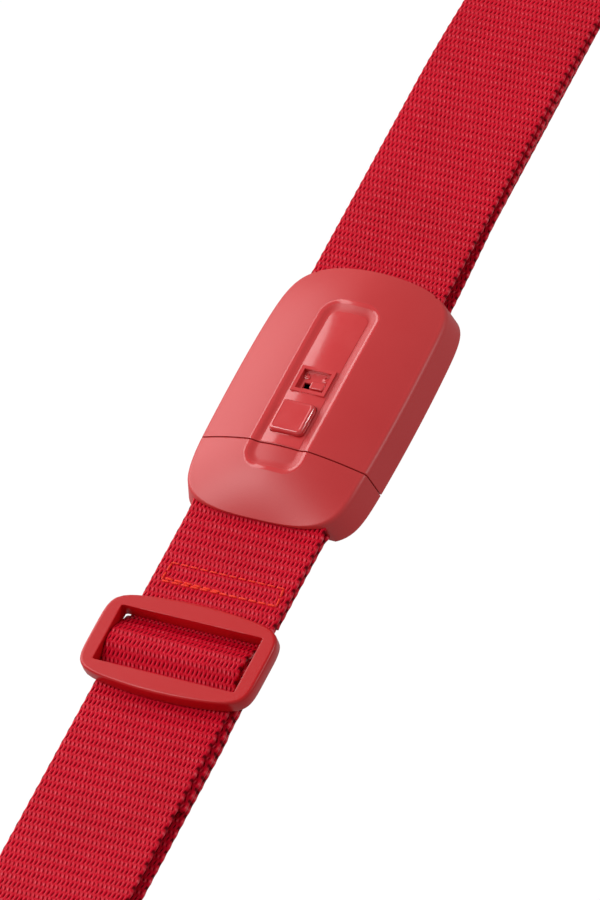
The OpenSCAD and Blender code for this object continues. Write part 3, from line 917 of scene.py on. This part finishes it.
def inner_section(x, hollow):
    """Inside of a housing at X, from foot to foot; flat along the foot where the housing is solid."""
    width, _, draft = section_size(x)
    inner_w = max(width - WALL, 0.005)
    across = np.linspace(1, -1, 23)[1:-1]
    if not hollow:
        places = np.r_[np.full(5, 1.0), across, np.full(5, -1.0)]
        return np.c_[places * inner_w, np.full(len(places), CASE_Z)]
    flat = max(inner_w - draft, 0.004)
    top = case_height(np.full(len(across), float(x)), across * flat) - WALL
    top = np.minimum(top, RECESS_Z - WALL)
    up = np.linspace(0, 1, 5)
    wall_y = inner_w - (inner_w - flat) * up
    wall_z = CASE_Z + (top[0] - CASE_Z) * up
    return np.vstack([
        np.c_[wall_y, wall_z],
        np.c_[across * flat, top],
        np.c_[-wall_y[::-1], wall_z[::-1]],
    ])


def shell_ring(x, hollow):
    """One closed section of a housing across the strap, at X."""
    ring = np.vstack([outer_section(x), inner_section(x, hollow)[::-1]])
    return np.c_[np.full(len(ring), x), ring]


def shell_rows(direction, seam):
    """Places along a housing, from its rounded end to the seam, closer where its shape changes fast."""
    rounded = HALF_L - TIP - ROUND_L * np.linspace(0, 1, 13)[1:] ** 2
    body = np.arange(HALF_L - ROUND_L - ROW_STEP, seam, -ROW_STEP)
    recess_end = abs(RECESS_X[1] if direction > 0 else RECESS_X[0])
    rows = np.r_[
        HALF_L - TIP, rounded, body[body > seam + 0.5], seam + 0.3, seam + 0.12, seam,
        HALF_L - WALL + STEP, HALF_L - WALL - STEP, seam + WALL + STEP, seam + WALL - STEP,
        recess_end + np.array(BORDER),
    ]
    return sorted(set(np.round(rows, 4)), reverse=True)


def shell(name, direction, x_seam):
    """The housing on one side of the seam, hollow between its end walls."""
    seam = x_seam * direction
    rings = []
    for place in shell_rows(direction, seam):
        ring = shell_ring(place * direction, seam + WALL < place < HALF_L - WALL)
        if place < seam + 0.11:
            ring[:, 2] -= SEAM_CHAMFER * (ring[:, 2] > CASE_Z + 1)
        rings.append(ring)
    rings = np.array(rings)
    if direction > 0:
        rings = rings[::-1]
    return loft(name, rings)


def cut_box(target, x0, x1, half_y, z0, z1):
    """Takes a box, even about Y = 0, out of target."""
    outline = [(x1, half_y), (x0, half_y), (x0, -half_y), (x1, -half_y)]
    cut(target, prism("cutter", outline, z0, z1))


def cut_hole(target, low, high, grow, radius, steps=6):
    """Cuts a round-cornered hole down through a housing's top, larger than low to high by grow."""
    hole = rounded_box(low[0] - grow, high[0] + grow, low[1] - grow, high[1] + grow, radius, steps)
    cut(target, prism("cutter", hole, *THROUGH_TOP))


def male_cover():
    """Short housing that slopes down to a thin lip over the webbing."""
    seam = male_high[0]
    made = shell("male_cover_moulded", -1, seam)
    cut_box(made, -HALF_L - 1, -HALF_L + MOUTH_DEPTH, MOUTH_Y, -1, MALE_MOUTH_Z)
    cut_box(made, seam - WALL - 0.5, seam + 1, MALE_CHANNEL_Y, -1, MALE_CHANNEL_Z)
    polish_border(made)
    finish_piece(made, HOUSING, ["male_cover"], "root")


def female_cover():
    """Long housing, open over the button and the lock's pocket."""
    seam = female_low[0]
    made = shell("female_cover_moulded", 1, seam)
    cut_box(made, HALF_L - MOUTH_DEPTH, HALF_L + 1, MOUTH_Y, -1, FEMALE_MOUTH_Z)
    cut_box(made, seam - 1, seam + WALL + 0.5, FEMALE_CHANNEL_Y, -1, FEMALE_CHANNEL_Z)
    cut_hole(made, button_low, button_high, BUTTON_SLOT, BUTTON_R)
    cut_box(made, plate_low[0] - PLATE_GAP, plate_high[0] + PLATE_GAP, plate_high[1] + PLATE_GAP,
            *THROUGH_TOP)
    polish_border(made)
    finish_piece(made, HOUSING, ["female_cover"], "female_half")


def polish_border(made):
    """Crisp edges, and the polished border round the recess."""
    sharpen(made, 32)
    made.data.materials.append(HOUSING)
    made.data.materials.append(GLOSS)
    mesh = made.data
    centres = np.empty(len(mesh.polygons) * 3, np.float32)
    mesh.polygons.foreach_get("center", centres)
    x, y, z = centres.reshape(-1, 3).T / MM
    inside = recess_distance(x, y)
    border = (inside > BORDER[0]) & (inside < BORDER[1]) & (z > RECESS_Z - 3.5)
    mesh.polygons.foreach_set("material_index", border.astype(np.int32))


# ---- Small pieces of the buckle ----

def stack(name, outline_at, profile):
    """A closed block from outlines at rising heights: outline_at(inset) and profile of (inset, z)."""
    rings = []
    for inset, z in profile:
        outline = np.array(outline_at(inset))
        rings.append(np.c_[outline, np.full(len(outline), z)])
    made = loft(name, np.array(rings))
    sharpen(made, 40)
    return made


def block_outline(low, high, radius, steps=6):
    """For stack(): the outline of a round-cornered block, as a function of inset."""
    def outline(inset):
        return rounded_box(low[0] + inset, high[0] - inset, low[1] + inset, high[1] - inset,
                           max(radius - inset * 0.7, 0.08), steps)
    return outline


def release_button():
    """Polished pillow with a rolled edge."""
    top = button_high[2]
    outline = block_outline(button_low, button_high, BUTTON_R, 8)
    made = stack("release_button_polished", outline, [
        (0, BUTTON_SKIRT_Z), (0, top - 0.75), (0.06, top - 0.5), (0.22, top - 0.26), (0.44, top - 0.09),
        (0.68, top), (0.86, top - 0.01), (1.02, top - 0.05), (1.12, top - 0.05), (2.0, top - 0.05),
    ])
    finish_piece(made, GLOSS, ["release_button"], "release_button")


def button_spring():
    """Coil under the button, filling the spring node's box."""
    low, high = spring_low, spring_high
    middle = (low + high) / 2
    coil_r = (high[1] - low[1]) / 2 - SPRING_WIRE
    around = np.linspace(0, TAU, 9)[:-1]
    out = coil_r + SPRING_WIRE * np.cos(around)
    turned = np.linspace(0, SPRING_TURNS * TAU, 24 * SPRING_TURNS + 1)
    climb = np.linspace(low[2] + SPRING_WIRE, high[2] - SPRING_WIRE, len(turned))
    rings = [
        np.c_[middle[0] + out * math.cos(a),
              middle[1] + out * math.sin(a),
              z + SPRING_WIRE * np.sin(around)]
        for a, z in zip(turned, climb)
    ]
    made = loft("button_spring_coil", np.array(rings))
    finish_piece(made, STEEL, ["button_spring"], "female_half")
    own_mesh(made)


def panel_ring(x):
    """Section of the inlay panel at X: a thin strip that follows the floor, round at the far end."""
    half_y = inlay_high[1] - 0.1
    into_end = np.clip((x - inlay_high[0]) / PANEL_R + 1, 0, 1)
    y = np.linspace(1, -1, 29) * (half_y - PANEL_R * (1 - math.sqrt(1 - into_end ** 2)))
    z = floor_height(np.full_like(y, x), y) + PANEL_RISE
    under = np.c_[y[::-1], np.full(len(y), RECESS_Z - 1.2)]
    ring = np.vstack([np.c_[y, z], under])
    return np.c_[np.full(len(ring), x), ring]


def inlay_panel():
    """Polished floor of the recess, open over the button and the lock's pocket."""
    far = inlay_high[0] - PANEL_R
    rows = np.r_[np.arange(inlay_low[0], far - 0.3, 0.6),
                 inlay_high[0] - PANEL_R * (1 - np.sin(np.radians(np.linspace(0, 89, 10))))]
    made = loft("inlay_panel_polished", np.array([panel_ring(x) for x in rows]))
    cut_hole(made, button_low, button_high, BUTTON_GAP, BUTTON_R, 8)
    cut_hole(made, plate_low, plate_high, -PLATE_LAP, 0.5, 4)
    sharpen(made, 30)
    finish_piece(made, GLOSS, ["inlay_panel"], "female_half")


def lock_knob():
    """Polished slider block on its stem."""
    low, high = knob_low, knob_high
    top = high[2]
    slim = np.array([0.35, 0.1, 0])
    knob = stack("knob", block_outline(low + slim, high - slim, 0.4, 4), [
        (0, top - 0.95), (0, top - 0.28), (0.08, top - 0.1), (0.22, top), (0.4, top)])
    stem_outline = block_outline((low[0] + 0.9, low[1] + 1.3), (high[0] - 0.9, high[1] - 1.3), 0.2, 3)
    stem = stack("stem", stem_outline, [(0, low[2] + 0.02), (0, top - 0.5)])
    made = merge("lock_knob_polished", [knob, stem])
    sharpen(made, 40)
    finish_piece(made, GLOSS, ["lock_knob"], "lock")


def padlock_signs():
    """Raised padlocks on the lock plate's floor: one closed, and one with its shackle to the side."""
    floor = PLATE_FLOOR_Z
    x = plate_high[0] - 2.3
    parts = []
    for y, lean in ((-2.6, 0.0), (2.6, 0.45)):
        body = block_outline((x - 0.85, y - 0.8), (x + 0.15, y + 0.8), 0.2, 3)
        parts.append(stack("body", body, [(0, floor - 0.05), (0, floor + 0.16), (0.06, floor + 0.2)]))
        turn = np.radians(np.linspace(-90, 90, 11))
        bow = np.c_[x + 0.15 + 0.55 * np.cos(turn) + 0.1, y + lean + 0.52 * np.sin(turn)]
        bow = np.vstack([[x + 0.1, bow[0, 1]], bow, [x + 0.1, bow[-1, 1]]])
        rings = []
        for point in bow:
            away = point - np.array([x + 0.2, y + lean])
            away = away / np.linalg.norm(away) * 0.13
            inner, outer = point - away, point + away
            rings.append([[*inner, floor - 0.05], [*inner, floor + 0.18],
                          [*outer, floor + 0.18], [*outer, floor - 0.05]])
        parts.append(loft("shackle", np.array(rings)))
    made = merge("padlock_signs_raised", parts)
    finish_piece(made, GLOSS, body="female_half")


def merge(name, parts):
    """Joins pieces into one object."""
    work = bmesh.new()
    for part in parts:
        work.from_mesh(part.data)
        bpy.data.objects.remove(part)
    bmesh.ops.recalc_face_normals(work, faces=work.faces)
    mesh = bpy.data.meshes.new(name)
    work.to_mesh(mesh)
    work.free()
    made = bpy.data.objects.new(name, mesh)
    bpy.context.scene.collection.objects.link(made)
    return made


# ---- Adjuster ----

def frame_edge(angle):
    """Distance from the adjuster's middle to its outline, in the direction of angle."""
    low, high = np.zeros_like(angle), np.full_like(angle, ADJ_HALF_W * 1.2)
    for _ in range(40):
        reach = (low + high) / 2
        y = np.abs(reach * np.sin(angle)) / ADJ_HALF_W
        half = (ADJ_HALF_L - FRAME_BOW * y ** 2) * np.maximum(1 - y ** 12, 0) ** 0.2
        inside = (np.abs(reach * np.cos(angle)) < half) & (y < 1)
        low, high = np.where(inside, reach, low), np.where(inside, high, reach)
    return low


def frame_angles():
    """Angles round the window, closer at its four corners."""
    corner = math.atan2(WINDOW_Y, WINDOW_X)
    near = 0.03
    side = np.linspace(-corner + near, corner - near, 40)
    turn = np.linspace(corner - near, corner + near, 4)[1:-1]
    end = np.linspace(corner + near, math.pi - corner - near, 56)
    half = np.r_[side, turn, end, math.pi - turn[::-1]]
    return np.r_[half, half + math.pi]


def frame_body(foot):
    """The frame round the window, with a sharp inner edge and a soft outer one, down to foot."""
    angle = frame_angles()
    cos, sin = np.cos(angle), np.sin(angle)
    window = np.minimum(WINDOW_X / np.maximum(np.abs(cos), 1e-6),
                        WINDOW_Y / np.maximum(np.abs(sin), 1e-6))
    outline = frame_edge(angle)
    top = frame_high[2]
    # Section as (edge it is measured from, shift away from the middle, height)
    section = [(window, 0, foot + 0.1), (window, 0, top - 0.12), (window, 0.05, top - 0.03)]
    section += [(window, 0.14, top), (window, 0.4, top)]
    section += [(outline, -FRAME_SOFT - 0.2, top), (outline, -FRAME_SOFT, top)]
    for a in np.radians(np.linspace(15, 90, 6)):
        section.append((outline, FRAME_SOFT * (math.sin(a) - 1), top - FRAME_SOFT * (1 - math.cos(a))))
    section += [(outline, 0, foot + 0.6), (outline, -0.2, foot + 0.2), (outline, -0.6, foot)]
    section += [(window, 0.1, foot)]
    rings = np.empty((len(angle), len(section), 3))
    for i, (edge, shift, z) in enumerate(section):
        rings[:, i, 0] = ADJ_X + (edge + shift) * cos
        rings[:, i, 1] = (edge + shift) * sin
        rings[:, i, 2] = z
    return loft("frame", rings, closed=True)


def centre_bar():
    """Flat-sided round bar across the window."""
    half_y = WINDOW_Y + 0.8
    turn = np.radians(np.linspace(-90, 90, 9))
    outline = np.vstack([
        np.c_[CENTRE_HALF + CENTRE_R * np.cos(turn), CENTRE_R * np.sin(turn)],
        np.c_[-CENTRE_HALF - CENTRE_R * np.cos(turn), -CENTRE_R * np.sin(turn)],
    ])
    rings = [np.c_[ADJ_X + outline[:, 0], np.full(len(outline), y), CENTRE_Z + outline[:, 1]]
             for y in np.linspace(-half_y, half_y, 9)]
    return loft("bar", np.array(rings))


def adjuster_frame():
    """Moulded tri-glide: the frame, its centre bar and the two posts that carry the bar."""
    foot = frame_low[2] + 1.45
    parts = [frame_body(foot), centre_bar()]
    for y in (-1, 1):
        near, far = sorted((y * WINDOW_Y, y * (WINDOW_Y + 3.2)))
        outline = block_outline((ADJ_X - 2.6, near), (ADJ_X + 2.6, far), 0.4, 3)
        parts.append(stack("post", outline, [
            (0.2, CENTRE_Z - 1), (0, CENTRE_Z - 0.8), (0, foot + 0.4)]))
    made = merge("adjuster_frame_moulded", parts)
    sharpen(made, 32)
    finish_piece(made, ADJUSTER, ["adjuster_frame"], "adjuster")


# ---- Camera, light and background, in metres but for the sheet ----

SURROUND = 0.47
SHEET_GLOW = 1.02
SHEET_HALF = 6000
SHEET_Z = -2


def make_camera():
    """Far camera along the line that the strap was seen from, turned about its own axis."""
    right = Vector((0.4224, -0.8679, -0.2624)).normalized()
    up = Vector((0.7787, 0.1990, 0.5950))
    up = (up - up.dot(right) * right).normalized()
    back = right.cross(up)
    distance = 2.4
    view_height = 0.2247
    target = Vector((-0.0173, -0.00387, 0.0119))
    data = bpy.data.cameras.new("camera")
    data.sensor_width = 36
    data.lens = data.sensor_width * distance / view_height
    camera = bpy.data.objects.new("camera", data)
    camera.matrix_world = Matrix.Translation(target + back * distance) @ Matrix(
        (right, up, back)).transposed().to_4x4()
    data.clip_end = 30
    bpy.context.scene.collection.objects.link(camera)
    bpy.context.scene.camera = camera


def area_light(name, place, size, power):
    """Disc of light that faces the origin."""
    data = bpy.data.lights.new(name, "AREA")
    data.shape = "DISK"
    data.size = size
    data.energy = power
    light = bpy.data.objects.new(name, data)
    light.location = place
    light.rotation_euler = (-Vector(place)).to_track_quat("-Z", "Y").to_euler()
    bpy.context.scene.collection.objects.link(light)


def make_background():
    """White sheet that only the camera sees, and a soft surround."""
    material = bpy.data.materials.new("white_sheet")
    material.use_nodes = True
    nodes = material.node_tree.nodes
    nodes.clear()
    glow = nodes.new("ShaderNodeEmission")
    glow.inputs["Color"].default_value = (1, 1, 1, 1)
    glow.inputs["Strength"].default_value = SHEET_GLOW
    out = nodes.new("ShaderNodeOutputMaterial")
    material.node_tree.links.new(glow.outputs[0], out.inputs["Surface"])
    corners = [(SHEET_HALF * x, SHEET_HALF * y, SHEET_Z) for x, y in ((-1, -1), (1, -1), (1, 1), (-1, 1))]
    sheet = mesh_object("floor", corners, faces=[[0, 1, 2, 3]], smooth=False)
    sheet.data.materials.append(material)
    for kind in ("diffuse", "glossy", "transmission", "shadow"):
        setattr(sheet, f"visible_{kind}", False)
    world = bpy.data.worlds.new("surround")
    world.use_nodes = True
    sky = world.node_tree.nodes["Background"].inputs
    sky["Color"].default_value = (1, 1, 1, 1)
    sky["Strength"].default_value = SURROUND
    bpy.context.scene.world = world
    bpy.context.scene.view_settings.view_transform = "Standard"


make_camera()
make_background()
area_light("key", (0.14, 0.94, 0.52), 1.25, 11.5)
area_light("high", (-0.32, 0.56, 0.85), 0.4, 3.6)
area_light("edge", (0.46, -0.74, 0.43), 0.1, 1.8)
dress_cad_nodes()
male_webbing()
left_webbing()
back_webbing()
female_webbing()
stitching()
male_cover()
female_cover()
release_button()
button_spring()
inlay_panel()
lock_knob()
padlock_signs()
adjuster_frame()
